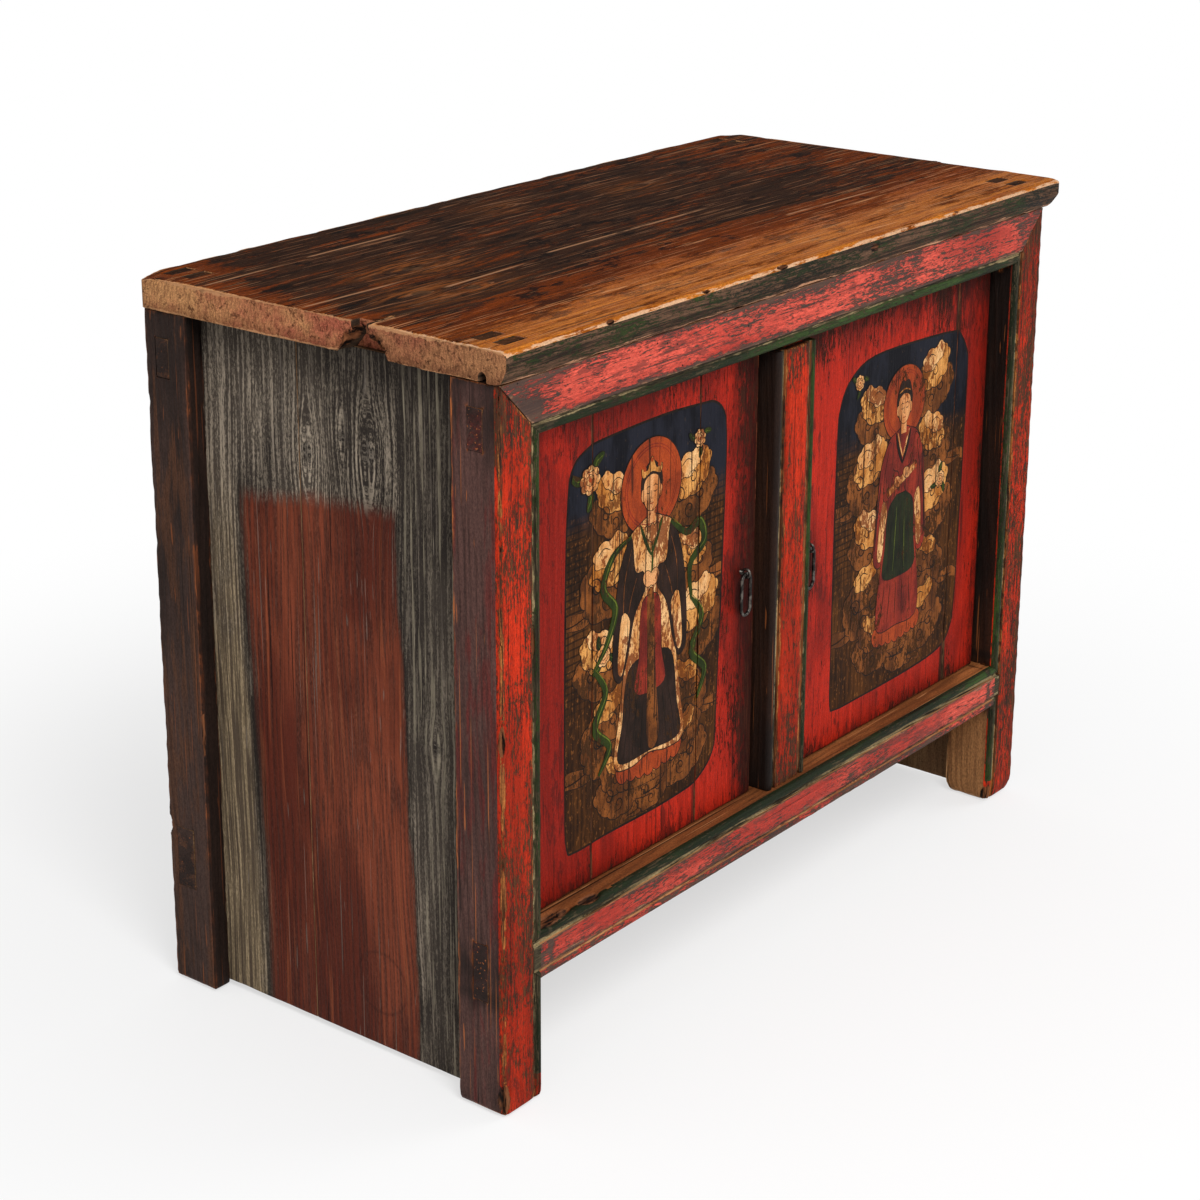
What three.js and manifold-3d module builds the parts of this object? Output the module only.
// A painted side cabinet of the Himalayan and Mongolian kind: four posts tenoned up through a plank top,
// a beaded and mitred front frame whose rails run through the posts, two plank doors that turn on
// wooden pins, and a centre stile that lifts out. Millimetres, X along the front, Y to the rear, Z up.
// The origin is on the floor under the middle of the plank top.
import * as THREE from 'three';
import { mergeVertices } from 'three/addons/utils/BufferGeometryUtils.js';
import Module from 'manifold-3d';

const wasm = await Module();
wasm.setup();

// Overall sizes: the body is measured over the outer faces of the posts.
const bodyWidth = 994;
const bodyDepth = 466;
const totalHeight = 780;

// Gap left wherever one piece lies against or inside another.
const fit = 0.3;

// Plank top, which stands out further at the right end than at the left.
const topThickness = 33;
const topOverhangLeft = 2;
const topOverhangRight = 20;
const topOverhangFront = 10;
const topOverhangRear = 7;
const topFrontBoardWidth = 168;
const topNoseRadius = 7;
const topFrontSlope = 8;
const topRightSlope = 12;
const topRightLip = 16;
const topRearArris = 3;

// Posts.
const postWidth = 59;
const postDepth = 61;
const postArris = 2;
const footWear = 4;

// Twin tenons that come up through the top at each post.
const topTenonLength = 32;
const topTenonThickness = 14;
const topTenonSpacing = 26;
const topTenonFromInnerFace = 7;
const topTenonSink = 1;

// Bead worked on every inner edge of the front frame, with a sunk quirk beside it.
const beadRadius = 5.2;
const quirkWidth = 3;
const quirkDepth = 3;
const beadSteps = 8;

// Front rails. Their front layer laps over the posts and is mitred to them.
const lapDepth = 14;
const topRailHeight = 58.5;
const topRailLip = 11.5;
const doorStopDepth = 12;
const bottomRailFaceHeight = 53;
const bottomRailBottom = 122;
const bottomRailFaceBottom = 130;
const bottomRailUnderCut = 12;

// Through tenons of the front rails.
const frontTenonThickness = 18;
const frontTenonFromFront = 21;
const frontTopTenonHeight = 41;
const frontTopTenonBelowTop = 25;

// Rear rails and their through tenons.
const rearRailDepth = 44;
const rearRailSetback = 3;
const rearRailHeight = 69;
const rearBottomRailHeight = 68;
const rearTopTenonThickness = 18;
const rearBottomTenonThickness = 24;

// Length by which a tenon runs back into its own rail.
const tenonRoot = 4;
const rearTenonFromBack = 25;
const rearTopTenonHeight = 41;

// Side, back and floor boards.
const grooveDepth = 10;
const sideBoardThickness = 16;
const sideBoardSetback = 22;
const sideBoardBottom = 7;
const sideJointY = 42;
const backBoardThickness = 14;
const backBoardFromRailFront = 14;
const backBoardCount = 3;
const floorBoardThickness = 14;
const floorBoardCount = 4;

// Centre stile: it stands in a shallow mortise and lifts into a deep one.
const stileWidth = 72;
const stileDepth = 38;
const stileSetback = 10.5;
const stileLift = 8;
const stileTongueWidth = 36;
const stileTongueThickness = 18;
const stileTongueFromFront = 8.5;
const stileTopTongue = 22;
const stileBottomTongue = 7;

// Doors. Each turns on round pins that grow out of its hinge board.
const doorThickness = 21;
const doorStopGap = 0.5;
const doorBottomGap = 1.5;
const doorTopGap = 2.5;
const pivotFromJamb = 13;
const pinRadius = 6;
const pinClearance = 0.5;
const pinLengthBottom = 14;
const pinLengthTop = 15;
const pinSocketSpare = 3;
const leftDoorStileGap = 12;
const rightDoorStileGap = 3;
const leftDoorHingeBoard = 111;
const leftDoorMiddleBoard = 177;
const rightDoorHingeBoard = 80;
const crackWidth = 4;
const crackHeight = 150;

// Dovetailed battens that hold each door's boards together at the back.
const battenHeight = 28;
const battenDovetail = 3;
const battenSunk = 6;
const battenProud = 12;
const battenFromPivot = 32;
const battenFromFreeEdge = 4;
const lowerBattenFromBottom = 87.5;
const upperBattenFromTop = 86;

// Iron pulls: a long link that hangs in the eye of a staple.
const linkWidth = 20;
const linkLength = 50;
const linkBar = 4;
const eyeWire = 3;
const eyeHole = 6;
const eyeFromDoor = 7;
const leftPullFromFreeEdge = 25;
const rightPullFromFreeEdge = 9.5;
const leftPullAboveMiddle = 9.75;
const rightPullAboveMiddle = 4.75;
const stapleShankWidth = 3;
const stapleShankHeight = 4;
const stapleLegSpan = 18;
const stapleLegThickness = 2.4;

// Faces round the pins, the eyes and the links.
const pinSides = 24;
const eyeSides = 24;
const eyeWireSides = 10;
const linkSides = 24;
const linkBarSides = 8;

// Damage at the left end of the top.
const breakFrontWidth = 24;
const breakRearWidth = 40;
const breakDepth = 28;
const breakHeight = 22;
const breakCrestWidth = 20;
const breakCrestDepth = 12;
const wormHoleY = -214;
const wormHoleRadius = 4.5;
const wormHoleHeight = 10;
const wormHoleDepth = 12;

// Sizes and places that follow from the ones above.
const over = 1;
const halfWidth = bodyWidth / 2;
const innerX = halfWidth - postWidth;
const frontY = -bodyDepth / 2;
const rearY = bodyDepth / 2;
const bodyTop = totalHeight - topThickness;
const beadZone = 2 * beadRadius + quirkWidth;
const topLeftX = -halfWidth - topOverhangLeft;
const topRightX = halfWidth + topOverhangRight;
const topFrontY = frontY - topOverhangFront;
const topRearY = rearY + topOverhangRear;
const topJointY = topFrontY + topFrontBoardWidth;
const topRailBottom = bodyTop - topRailHeight;
const sillTop = bottomRailFaceBottom + bottomRailFaceHeight;
const frontRailBackY = frontY + postDepth;
const doorStopY = frontRailBackY - doorStopDepth;
const doorInnerY = doorStopY - doorStopGap;
const doorFaceY = doorInnerY - doorThickness;
const pivotY = doorInnerY - doorThickness / 2;
const pivotX = innerX - pivotFromJamb;
const doorBottom = sillTop + doorBottomGap;
const doorTop = topRailBottom - doorTopGap;
const frontTenonY = frontY + frontTenonFromFront;
const frontTopTenonTop = bodyTop - frontTopTenonBelowTop;
const frontTopTenonBottom = frontTopTenonTop - frontTopTenonHeight;
const rearRailBackY = rearY - rearRailSetback;
const rearRailFrontY = rearRailBackY - rearRailDepth;
const rearTenonY = rearY - rearTenonFromBack;
const rearTopRailBottom = bodyTop - rearRailHeight;
const rearBottomRailBottom = sillTop - rearBottomRailHeight;
const backBoardY = rearRailFrontY + backBoardFromRailFront;
const sideOuterX = halfWidth - sideBoardSetback;
const sideInnerX = sideOuterX - sideBoardThickness;
const stileFrontY = frontY + stileSetback;
const stileTongueY = stileFrontY + stileTongueFromFront;
const stileTop = topRailBottom - stileLift - fit;
const doorMiddle = (doorBottom + doorTop) / 2;
const battenZs = { lower: doorBottom + lowerBattenFromBottom, upper: doorTop - upperBattenFromTop };

const paint = {
  red: { color: 0xa5241a, roughness: 0.55, metalness: 0 },
  crimson: { color: 0x84201c, roughness: 0.5, metalness: 0 },
  darkWood: { color: 0x2f2019, roughness: 0.6, metalness: 0 },
  topWood: { color: 0x6b3216, roughness: 0.4, metalness: 0 },
  greyWood: { color: 0x4d4038, roughness: 0.8, metalness: 0 },
  rawWood: { color: 0x8a5a35, roughness: 0.75, metalness: 0 },
  iron: { color: 0x2b2826, roughness: 0.45, metalness: 0.85 },
};
const materials = Object.fromEntries(
  Object.entries(paint).map(([name, look]) => [name, new THREE.MeshStandardMaterial(look)]),
);

// Solids from three.js geometries.
function solid(geometry) {
  const bare = geometry.clone();
  bare.deleteAttribute('normal');
  bare.deleteAttribute('uv');
  const merged = mergeVertices(bare, 1e-4);
  return new wasm.Manifold(new wasm.Mesh({
    numProp: 3,
    vertProperties: new Float32Array(merged.attributes.position.array),
    triVerts: new Uint32Array(merged.index.array),
  }));
}

function extrude(points, depth) {
  const shape = new THREE.Shape(points.map(([a, b]) => new THREE.Vector2(a, b)));
  return new THREE.ExtrudeGeometry(shape, { depth, bevelEnabled: false, steps: 1 });
}

// Prisms: an outline in one plane, carried from one plane to another.
function alongZ(points, z0, z1) {
  return solid(extrude(points, z1 - z0).translate(0, 0, z0));
}

function alongX(points, x0, x1) {
  const turn = new THREE.Matrix4().makeBasis(
    new THREE.Vector3(0, 1, 0), new THREE.Vector3(0, 0, 1), new THREE.Vector3(1, 0, 0));
  return solid(extrude(points, x1 - x0).applyMatrix4(turn).translate(x0, 0, 0));
}

function alongY(points, y0, y1) {
  const turn = new THREE.Matrix4().makeBasis(
    new THREE.Vector3(1, 0, 0), new THREE.Vector3(0, 0, 1), new THREE.Vector3(0, -1, 0));
  return solid(extrude(points, y1 - y0).applyMatrix4(turn).translate(0, y1, 0));
}

function block([x0, x1], [y0, y1], [z0, z1]) {
  const geometry = new THREE.BoxGeometry(Math.abs(x1 - x0), y1 - y0, z1 - z0);
  return solid(geometry.translate((x0 + x1) / 2, (y0 + y1) / 2, (z0 + z1) / 2));
}

function upright(radius, x, y, [z0, z1]) {
  const geometry = new THREE.CylinderGeometry(radius, radius, z1 - z0, pinSides).rotateX(Math.PI / 2);
  return solid(geometry.translate(x, y, (z0 + z1) / 2));
}

function mesh(name, shape, material) {
  const { vertProperties, triVerts } = shape.getMesh();
  const geometry = new THREE.BufferGeometry();
  geometry.setAttribute('position', new THREE.BufferAttribute(new Float32Array(vertProperties), 3));
  geometry.setIndex(new THREE.BufferAttribute(new Uint32Array(triVerts), 1));
  geometry.computeVertexNormals();
  const piece = new THREE.Mesh(geometry, material);
  piece.name = name;
  return piece;
}

// Bead and quirk, as distances across the face from the inner edge and back from the face.
function beadOutline() {
  const points = [];
  const last = Math.asin((beadRadius - quirkDepth) / beadRadius);
  for (let i = 0; i <= beadSteps; i += 1) {
    const angle = Math.PI + (last - Math.PI) * (i / beadSteps);
    points.push([beadRadius + beadRadius * Math.cos(angle), beadRadius - beadRadius * Math.sin(angle)]);
  }
  points.push([beadZone, quirkDepth], [beadZone, 0]);
  return points;
}

// A place across a post, measured outward from its inner face, on the left (-1) or right (1).
const across = (side, distance) => side * (innerX + distance);

// Front layer of a rail where it laps a post: outlines of what the mitres leave to the post.
function lapTopRail(side, grow) {
  const drop = grow * Math.SQRT2;
  return [
    [across(side, -over), topRailBottom - over - drop],
    [across(side, postWidth + over), topRailBottom + postWidth + over - drop],
    [across(side, postWidth + over), bodyTop + topThickness],
    [across(side, -over), bodyTop + topThickness],
  ];
}

function lapBottomRail(side, grow) {
  const drop = grow * Math.SQRT2;
  const reach = beadZone + grow;
  return [
    [across(side, -over), bottomRailFaceBottom - over - drop],
    [across(side, reach), bottomRailFaceBottom + reach - drop],
    [across(side, reach), sillTop - reach + drop],
    [across(side, -over), sillTop + over + drop],
  ];
}

// Twin tenons on top of a post, or with grow the holes for them.
function topTenons(side, rear, z, grow) {
  const postY = rear ? rearY - postDepth / 2 : frontY + postDepth / 2;
  const x = [
    across(side, topTenonFromInnerFace - grow),
    across(side, topTenonFromInnerFace + topTenonLength + grow),
  ].sort((a, b) => a - b);
  return [-1, 1].map((row) => {
    const y = postY + row * topTenonSpacing / 2;
    return block(x, [y - topTenonThickness / 2 - grow, y + topTenonThickness / 2 + grow], z);
  });
}

function tenonHole(side, [y0, y1], [z0, z1]) {
  const x = [across(side, -over), across(side, postWidth + over)].sort((a, b) => a - b);
  return block(x, [y0 - fit, y1 + fit], [z0 - fit, z1 + fit]);
}

// The worn lower edges of a foot.
function footCuts(side, y0, y1) {
  const x0 = Math.min(across(side, 0), across(side, postWidth));
  const x1 = x0 + postWidth;
  const corner = (at, inward) => [
    [at - inward * over, -over], [at + inward * (footWear + over), -over],
    [at - inward * over, footWear + over],
  ];
  return [
    alongY(corner(x0, 1), y0 - over, y1 + over),
    alongY(corner(x1, -1), y0 - over, y1 + over),
    alongX(corner(y0, 1), x0 - over, x1 + over),
    alongX(corner(y1, -1), x0 - over, x1 + over),
  ];
}

function subtractAll(body, cuts) {
  return cuts.reduce((rest, cut) => rest.subtract(cut), body);
}

function addAll(body, pieces) {
  return pieces.reduce((whole, piece) => whole.add(piece), body);
}

const tenonRanges = {
  frontTop: {
    y: [frontTenonY, frontTenonY + frontTenonThickness],
    z: [frontTopTenonBottom, frontTopTenonTop],
  },
  frontBottom: { y: [frontTenonY, frontTenonY + frontTenonThickness], z: [bottomRailBottom, sillTop] },
  rearTop: {
    y: [rearTenonY - rearTopTenonThickness / 2, rearTenonY + rearTopTenonThickness / 2],
    z: [rearTopRailBottom, rearTopRailBottom + rearTopTenonHeight],
  },
  rearBottom: {
    y: [rearTenonY - rearBottomTenonThickness / 2, rearTenonY + rearBottomTenonThickness / 2],
    z: [rearBottomRailBottom, sillTop],
  },
};

function frontPost(side) {
  const grooveOuter = postWidth - sideBoardSetback + fit;
  const grooveInner = grooveOuter - sideBoardThickness - 2 * fit;
  const outline = [
    ...beadOutline(),
    [postWidth - postArris, 0], [postWidth, postArris],
    [postWidth, postDepth - postArris], [postWidth - postArris, postDepth],
    [grooveOuter, postDepth], [grooveOuter, postDepth - grooveDepth],
    [grooveInner, postDepth - grooveDepth], [grooveInner, postDepth],
    [0, postDepth],
  ].map(([a, b]) => [across(side, a), frontY + b]);
  const post = addAll(alongZ(outline, 0, bodyTop - fit),
    topTenons(side, false, [bodyTop - postArris, totalHeight - topTenonSink], 0));
  return subtractAll(post, [
    alongY(lapTopRail(side, fit), frontY - over, frontY + lapDepth + fit),
    alongY(lapBottomRail(side, fit), frontY - over, frontY + lapDepth + fit),
    tenonHole(side, tenonRanges.frontTop.y, tenonRanges.frontTop.z),
    tenonHole(side, tenonRanges.frontBottom.y, tenonRanges.frontBottom.z),
    ...footCuts(side, frontY, frontRailBackY),
  ]);
}

function rearPost(side) {
  const postFrontY = rearY - postDepth;
  const grooveOuter = postWidth - sideBoardSetback + fit;
  const grooveInner = grooveOuter - sideBoardThickness - 2 * fit;
  const outline = [
    [0, 0], [grooveInner, 0], [grooveInner, grooveDepth], [grooveOuter, grooveDepth], [grooveOuter, 0],
    [postWidth - postArris, 0], [postWidth, postArris],
    [postWidth, postDepth - postArris], [postWidth - postArris, postDepth],
    [0, postDepth],
  ].map(([a, b]) => [across(side, a), postFrontY + b]);
  const backGroove = [across(side, -over), across(side, grooveDepth)].sort((a, b) => a - b);
  const post = addAll(alongZ(outline, 0, bodyTop - fit),
    topTenons(side, true, [bodyTop - postArris, totalHeight - topTenonSink], 0));
  return subtractAll(post, [
    block(backGroove, [backBoardY - fit, backBoardY + backBoardThickness + fit],
      [sillTop, rearTopRailBottom]),
    tenonHole(side, tenonRanges.rearTop.y, tenonRanges.rearTop.z),
    tenonHole(side, tenonRanges.rearBottom.y, tenonRanges.rearBottom.z),
    ...footCuts(side, postFrontY, rearY),
  ]);
}

// A tenon from a rail's shoulder out to the face of the post.
function throughTenon(side, [y0, y1], [z0, z1], root) {
  const x = [across(side, -root), across(side, postWidth)].sort((a, b) => a - b);
  return block(x, [y0, y1], [z0, z1]);
}

// What the post keeps behind the lapped front layer of a rail.
function shoulderCut(side, z) {
  const x = [across(side, -fit), across(side, postWidth + over)].sort((a, b) => a - b);
  return block(x, [frontY + lapDepth, frontRailBackY + over], z);
}

function pinSocket(side, z) {
  return upright(pinRadius + pinClearance, side * pivotX, pivotY, z);
}

function stileMortise(z) {
  return block([-stileTongueWidth / 2 - fit, stileTongueWidth / 2 + fit],
    [stileTongueY - fit, stileTongueY + stileTongueThickness + fit], z);
}

function frontTopRail() {
  const outline = [
    ...beadOutline().map(([a, b]) => [frontY + b, topRailBottom + a]),
    [frontY, bodyTop - fit], [frontRailBackY, bodyTop - fit],
    [frontRailBackY, topRailBottom - topRailLip], [doorStopY, topRailBottom - topRailLip],
    [doorStopY, topRailBottom],
  ];
  const low = topRailBottom - topRailLip - over;
  const { y, z } = tenonRanges.frontTop;
  let rail = alongX(outline, -halfWidth, halfWidth);
  for (const side of [-1, 1]) {
    const underMitre = [
      [across(side, 0), topRailBottom], [across(side, postWidth + over), topRailBottom + postWidth + over],
      [across(side, postWidth + over), low], [across(side, 0), low],
    ];
    rail = subtractAll(rail, [
      alongY(underMitre, frontY - over, frontRailBackY + over),
      shoulderCut(side, [low, bodyTop + over]),
      pinSocket(side, [topRailBottom - over, doorTop + pinLengthTop + pinSocketSpare]),
    ]);
    rail = rail.add(throughTenon(side, y, [topRailBottom, z[1]], tenonRoot))
      .add(throughTenon(side, y, [z[0], topRailBottom + over], 0));
  }
  const mortiseTop = stileTop + stileTopTongue + stileLift + 2 * fit;
  return rail.subtract(stileMortise([topRailBottom - over, mortiseTop]));
}

function frontBottomRail() {
  const lowerBead = beadOutline().map(([a, b]) => [frontY + b, bottomRailFaceBottom + a]);
  const upperBead = beadOutline().reverse().map(([a, b]) => [frontY + b, sillTop - a]);
  const outline = [
    ...lowerBead, ...upperBead,
    [frontRailBackY, sillTop], [frontRailBackY, bottomRailBottom],
    [frontY + bottomRailUnderCut, bottomRailBottom],
  ];
  const { y, z } = tenonRanges.frontBottom;
  let rail = alongX(outline, -innerX - beadZone, innerX + beadZone);
  for (const side of [-1, 1]) {
    const reach = beadZone + over;
    const overMitre = [
      [across(side, 0), sillTop], [across(side, reach), sillTop - reach],
      [across(side, reach), sillTop + over], [across(side, 0), sillTop + over],
    ];
    const underMitre = [
      [across(side, 0), bottomRailFaceBottom], [across(side, reach), bottomRailFaceBottom + reach],
      [across(side, reach), bottomRailBottom - over], [across(side, 0), bottomRailBottom - over],
    ];
    rail = subtractAll(rail, [
      alongY(overMitre, frontY - over, frontRailBackY + over),
      alongY(underMitre, frontY - over, frontRailBackY + over),
      shoulderCut(side, [bottomRailBottom - over, sillTop + over]),
      pinSocket(side, [doorBottom - pinLengthBottom - fit, sillTop + over]),
    ]);
    rail = rail.add(throughTenon(side, y, z, tenonRoot));
  }
  return rail.subtract(stileMortise([sillTop - stileBottomTongue - over, sillTop + over]));
}

function rearRail(bottom, top, tenon, grooveZ) {
  const end = innerX - fit;
  const rail = block([-end, end], [rearRailFrontY, rearRailBackY], [bottom, top]);
  const groove = block([-end - over, end + over],
    [backBoardY - fit, backBoardY + backBoardThickness + fit], grooveZ);
  return [-1, 1].reduce(
    (whole, side) => whole.add(throughTenon(side, tenon.y, tenon.z, tenonRoot)), rail.subtract(groove));
}

// A tenon lies in line with the groove, so the board beside it is shortened there.
function rearTopRail() {
  return rearRail(rearTopRailBottom, bodyTop - fit, tenonRanges.rearTop,
    [rearTopRailBottom - over, rearTopRailBottom + grooveDepth]);
}

function rearBottomRail() {
  return rearRail(rearBottomRailBottom, sillTop, tenonRanges.rearBottom,
    [sillTop - grooveDepth, sillTop + over]);
}

function sideBoard(side, [y0, y1]) {
  const x = [side * sideInnerX, side * sideOuterX].sort((a, b) => a - b);
  return block(x, [y0, y1], [sideBoardBottom, bodyTop - fit]);
}

function backBoard(index) {
  const low = sillTop - grooveDepth + fit;
  const high = rearTopRailBottom + grooveDepth - fit;
  const pitch = (high - low) / backBoardCount;
  const bottom = low + index * pitch + (index > 0 ? fit : 0);
  const top = low + (index + 1) * pitch;
  const y = [backBoardY, backBoardY + backBoardThickness];
  const tongueBottom = Math.max(bottom, sillTop + fit);
  const tongueTop = Math.min(top, rearTopRailBottom - fit);
  const reach = innerX + grooveDepth - fit;
  // Clear of the groove's open ends where the rail's tenon begins.
  const middle = innerX - 4 - fit;
  return block([-middle, middle], y, [bottom, top])
    .add(block([-reach, reach], y, [tongueBottom, tongueTop]));
}

function floorBoard(index) {
  const reach = sideInnerX - fit;
  const pitch = (2 * reach) / floorBoardCount;
  const x0 = -reach + index * pitch + (index > 0 ? fit : 0);
  const x1 = -reach + (index + 1) * pitch;
  const z = [sillTop + fit, sillTop + fit + floorBoardThickness];
  const board = block([x0, x1], [doorStopY, backBoardY - fit], z);
  const tall = [z[0] - over, z[1] + over];
  return [-1, 1].reduce((rest, side) => {
    const x = [across(side, -fit), across(side, postWidth)].sort((a, b) => a - b);
    return subtractAll(rest, [
      block(x, [doorStopY - over, frontRailBackY + fit], tall),
      block(x, [rearY - postDepth - fit, backBoardY + over], tall),
    ]);
  }, board);
}

// Worn nose of the top's front edge: rounded above, then sloping in towards the body.
function topFrontOutline() {
  const nose = [];
  for (let i = 0; i <= 4; i += 1) {
    const angle = (Math.PI / 2) * (i / 4);
    nose.push([
      topFrontY + topNoseRadius - topNoseRadius * Math.sin(angle),
      totalHeight - topNoseRadius + topNoseRadius * Math.cos(angle),
    ]);
  }
  return [
    [topJointY, bodyTop], [topJointY, totalHeight], ...nose,
    [topFrontY, totalHeight - topThickness / 2], [topFrontY + topFrontSlope, bodyTop],
  ];
}

function topRearOutline() {
  return [
    [topJointY + fit, bodyTop], [topRearY, bodyTop], [topRearY, totalHeight - topRearArris],
    [topRearY - topRearArris, totalHeight], [topJointY + fit, totalHeight],
  ];
}

function topEndCut() {
  const outline = [
    [topRightX, totalHeight - topRightLip], [topRightX - topRightSlope, bodyTop - over],
    [topRightX + over, bodyTop - over], [topRightX + over, totalHeight - topRightLip],
  ];
  return alongY(outline, topFrontY - over, topRearY + over);
}

function topDamage() {
  const crest = topJointY + breakCrestWidth;
  const arch = [];
  for (let i = 0; i <= 6; i += 1) {
    const angle = Math.PI * (i / 6);
    arch.push([
      wormHoleY + wormHoleRadius * Math.cos(angle),
      bodyTop + wormHoleHeight - wormHoleRadius + wormHoleRadius * Math.sin(angle),
    ]);
  }
  return [
    alongX([
      [topJointY - breakFrontWidth, bodyTop - over], [topJointY + breakRearWidth, bodyTop - over],
      [crest, bodyTop + breakHeight], [topJointY, bodyTop + breakHeight],
    ], topLeftX - over, topLeftX + breakDepth),
    alongX([
      [topJointY, bodyTop - over], [crest + over, bodyTop - over],
      [crest, totalHeight + over], [topJointY + over, totalHeight + over],
    ], topLeftX - over, topLeftX + breakCrestDepth),
    alongX([
      ...arch, [wormHoleY - wormHoleRadius, bodyTop - over], [wormHoleY + wormHoleRadius, bodyTop - over],
    ], topLeftX - over, topLeftX + wormHoleDepth),
  ];
}

function topBoard(outline, rear) {
  const holes = [-1, 1].flatMap(
    (side) => topTenons(side, rear, [bodyTop - over, totalHeight + over], fit));
  return subtractAll(alongX(outline, topLeftX, topRightX), [topEndCut(), ...holes, ...topDamage()]);
}

function centreStile() {
  const half = stileWidth / 2;
  const backY = stileFrontY + stileDepth;
  const outline = [
    ...beadOutline().map(([a, b]) => [-half + a, stileFrontY + b]),
    ...beadOutline().reverse().map(([a, b]) => [half - a, stileFrontY + b]),
    [half, backY], [-half, backY],
  ];
  const x = [-stileTongueWidth / 2, stileTongueWidth / 2];
  const y = [stileTongueY, stileTongueY + stileTongueThickness];
  return alongZ(outline, sillTop + fit, stileTop)
    .add(block(x, y, [stileTop - over, stileTop + stileTopTongue]))
    .add(block(x, y, [sillTop + fit - stileBottomTongue, sillTop + over]));
}

// A door is laid out from its pivot towards the stile, on the left (-1) or right (1).
const doors = {
  left: {
    side: -1,
    stileGap: leftDoorStileGap,
    joints: [leftDoorHingeBoard, leftDoorHingeBoard + leftDoorMiddleBoard],
    pullInset: leftPullFromFreeEdge,
    pullZ: doorMiddle + leftPullAboveMiddle,
    boards: ['hinge', 'middle', 'meeting'],
  },
  right: {
    side: 1,
    stileGap: rightDoorStileGap,
    joints: [rightDoorHingeBoard],
    pullInset: rightPullFromFreeEdge,
    pullZ: doorMiddle + rightPullAboveMiddle,
    boards: ['hinge', 'wide'],
  },
};
for (const door of Object.values(doors)) {
  door.freeEdge = innerX - stileWidth / 2 - door.stileGap;
  door.x = (fromJamb) => door.side * (innerX - fromJamb);
  door.span = (a, b) => [door.x(a), door.x(b)].sort((p, q) => p - q);
  door.pullX = door.x(door.freeEdge - door.pullInset);
}

// Section of a batten; with grow, of the dovetailed groove that takes it.
function battenOutline(z, grow) {
  const half = battenHeight / 2 + grow;
  const root = doorInnerY - battenSunk - grow;
  const back = doorInnerY + (grow > 0 ? over : battenProud);
  return [
    [back, z - half], [doorInnerY, z - half], [root, z - half - battenDovetail],
    [root, z + half + battenDovetail], [doorInnerY, z + half], [back, z + half],
  ];
}

function hingeEdge(door) {
  const points = [];
  const radius = doorThickness / 2;
  for (let i = 0; i <= 12; i += 1) {
    const angle = Math.PI / 2 + Math.PI * (i / 12);
    points.push([door.x(pivotFromJamb + radius * Math.cos(angle)), pivotY + radius * Math.sin(angle)]);
  }
  return points;
}

function doorBoard(door, index) {
  const { joints, freeEdge } = door;
  const start = index === 0 ? pivotFromJamb : joints[index - 1] + fit;
  const end = index < joints.length ? joints[index] : freeEdge;
  const z = [doorBottom, doorTop];
  let board;
  if (index === 0) {
    const outline = [...hingeEdge(door), [door.x(end), doorFaceY], [door.x(end), doorInnerY]];
    const pin = (pinZ) => upright(pinRadius, door.side * pivotX, pivotY, pinZ);
    board = alongZ(outline, ...z)
      .add(pin([doorBottom - pinLengthBottom, doorBottom + over]))
      .add(pin([doorTop - over, doorTop + pinLengthTop]));
  } else {
    board = block(door.span(start, end), [doorFaceY, doorInnerY], z);
  }
  const groove = door.span(pivotFromJamb + battenFromPivot - fit, freeEdge + over);
  return subtractAll(board, Object.values(battenZs).map((at) => alongX(battenOutline(at, fit), ...groove)));
}

// The hinge board of the right door has shrunk away from its neighbour at the foot.
function shrinkageCrack(door) {
  const joint = door.joints[0];
  const outline = [
    [door.x(joint + over), doorBottom - over], [door.x(joint - crackWidth), doorBottom - over],
    [door.x(joint), doorBottom + crackHeight], [door.x(joint + over), doorBottom + crackHeight],
  ];
  return alongY(outline, doorFaceY - over, doorInnerY + over);
}

function batten(door, z) {
  const span = door.span(pivotFromJamb + battenFromPivot, door.freeEdge - battenFromFreeEdge);
  return alongX(battenOutline(z, 0), ...span);
}

const eyeY = doorFaceY - eyeFromDoor;
const eyeZ = (door) => door.pullZ + (eyeHole - linkBar) / 2 - fit;

function stapleShank(door, grow) {
  const z = eyeZ(door);
  return block(
    [door.pullX - stapleShankWidth / 2 - grow, door.pullX + stapleShankWidth / 2 + grow],
    [eyeY + eyeHole / 2 + eyeWire / 4, doorInnerY + fit + stapleLegThickness],
    [z - stapleShankHeight / 2 - grow, z + stapleShankHeight / 2 + grow]);
}

// Eye in front, a shank through the board, and legs clenched over at the back.
function staple(door) {
  const z = eyeZ(door);
  const ring = new THREE.TorusGeometry((eyeHole + eyeWire) / 2, eyeWire / 2, eyeWireSides, eyeSides)
    .rotateY(Math.PI / 2).translate(door.pullX, eyeY, z);
  const legs = block(
    [door.pullX - stapleLegSpan / 2, door.pullX + stapleLegSpan / 2],
    [doorInnerY + fit, doorInnerY + fit + stapleLegThickness],
    [z - stapleShankHeight / 2, z + stapleShankHeight / 2]);
  return addAll(solid(ring), [stapleShank(door, 0), legs]);
}

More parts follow.
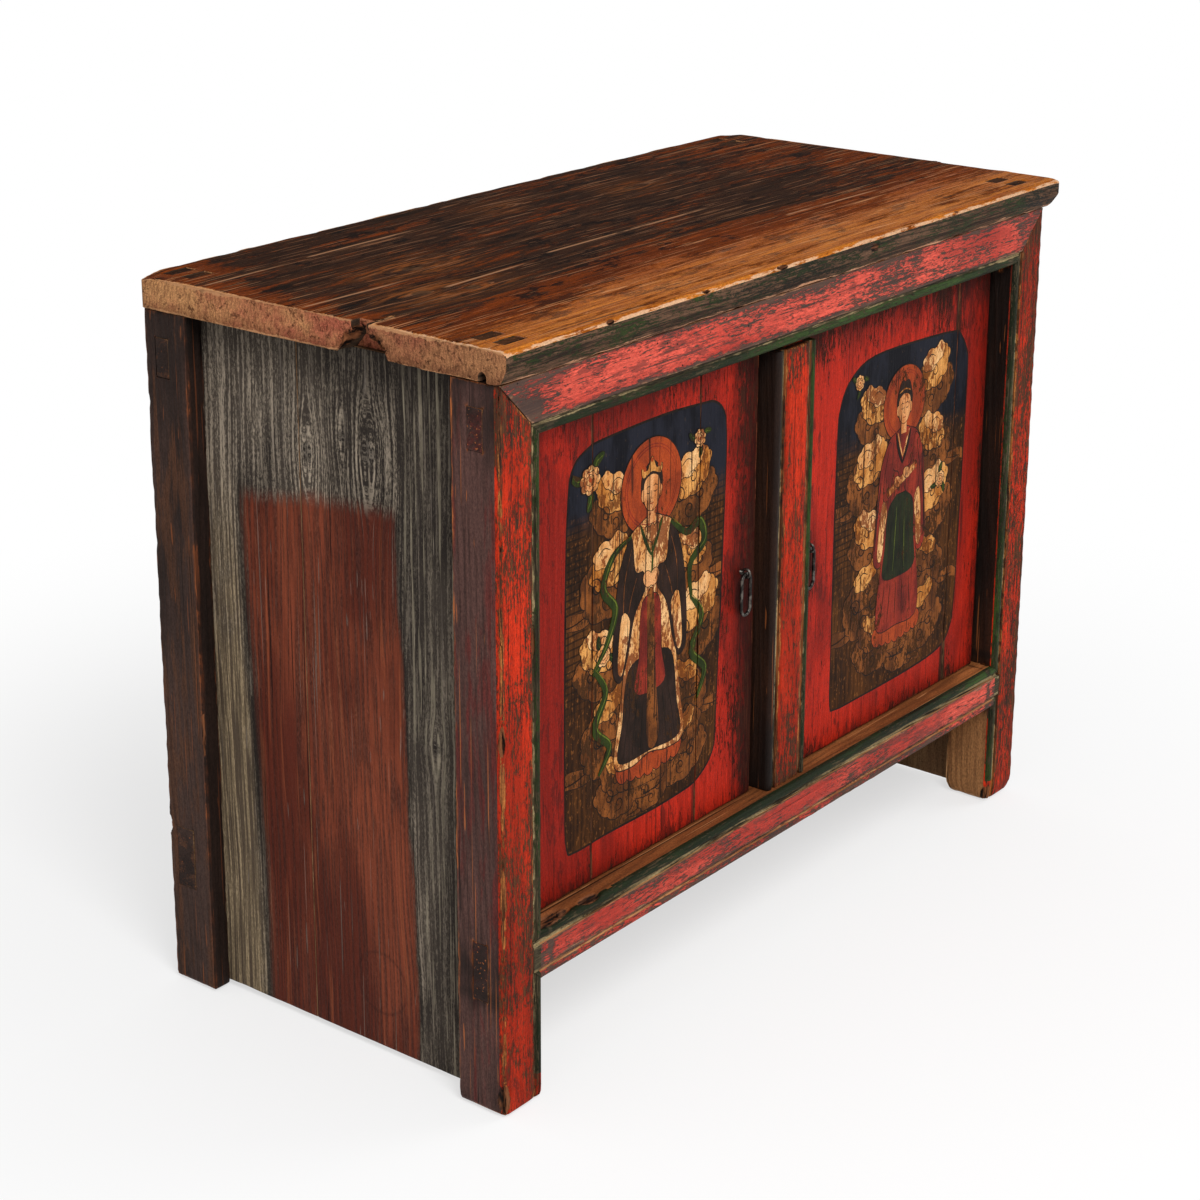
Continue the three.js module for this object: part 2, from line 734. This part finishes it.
// A ring drawn out into a link: its two halves are moved apart along Z.
function pullLink(door) {
  const meanRadius = (linkWidth - linkBar) / 2;
  const stretch = (linkLength - linkWidth) / 2;
  const ring = new THREE.TorusGeometry(meanRadius, linkBar / 2, linkBarSides, linkSides)
    .rotateZ(Math.PI / linkSides).rotateX(Math.PI / 2);
  const place = ring.attributes.position;
  for (let i = 0; i < place.count; i += 1) {
    place.setZ(i, place.getZ(i) + Math.sign(place.getZ(i)) * stretch);
  }
  const centreZ = door.pullZ - meanRadius - stretch;
  return solid(ring.translate(door.pullX, eyeY, centreZ));
}

const cabinet = new THREE.Group();
const topCentreX = (topRightX + topLeftX) / 2;
const topCentreY = (topFrontY + topRearY) / 2;
cabinet.position.set(-topCentreX, -topCentreY, 0);

const carcase = new THREE.Group();
carcase.add(mesh('top_board_rear', topBoard(topRearOutline(), true), materials.topWood));
carcase.add(mesh('top_board_front', topBoard(topFrontOutline(), false), materials.topWood));
carcase.add(mesh('front_top_rail', frontTopRail(), materials.red));
carcase.add(mesh('front_bottom_rail', frontBottomRail(), materials.red));
carcase.add(mesh('rear_top_rail', rearTopRail(), materials.rawWood));
carcase.add(mesh('rear_bottom_rail', rearBottomRail(), materials.rawWood));
for (const [name, side] of [['left', -1], ['right', 1]]) {
  const grooveEnd = frontRailBackY - grooveDepth + fit;
  const rearGrooveEnd = rearY - postDepth + grooveDepth - fit;
  carcase.add(mesh(`front_${name}_post`, frontPost(side), materials.red));
  carcase.add(mesh(`rear_${name}_post`, rearPost(side), materials.darkWood));
  carcase.add(mesh(`${name}_side_board_front`, sideBoard(side, [grooveEnd, sideJointY]),
    materials.greyWood));
  carcase.add(mesh(`${name}_side_board_rear`, sideBoard(side, [sideJointY + fit, rearGrooveEnd]),
    materials.greyWood));
}
for (let i = 0; i < backBoardCount; i += 1) {
  carcase.add(mesh(`back_board_${i + 1}`, backBoard(i), materials.rawWood));
}
for (let i = 0; i < floorBoardCount; i += 1) {
  carcase.add(mesh(`floor_board_${i + 1}`, floorBoard(i), materials.rawWood));
}
cabinet.add(carcase);
cabinet.add(mesh('centre_stile', centreStile(), materials.red));

for (const [name, door] of Object.entries(doors)) {
  const leaf = new THREE.Group();
  door.boards.forEach((board, index) => {
    let shape = doorBoard(door, index);
    if (name === 'right' && index === 0) shape = shape.subtract(shrinkageCrack(door));
    if (index === door.boards.length - 1) shape = shape.subtract(stapleShank(door, fit));
    leaf.add(mesh(`${name}_door_${board}_board`, shape, materials.crimson));
  });
  for (const [level, z] of Object.entries(battenZs)) {
    leaf.add(mesh(`${name}_door_${level}_batten`, batten(door, z), materials.rawWood));
  }
  leaf.add(mesh(`${name}_pull_staple`, staple(door), materials.iron));
  leaf.add(mesh(`${name}_pull_ring`, pullLink(door), materials.iron));
  cabinet.add(leaf);
}

export default cabinet;
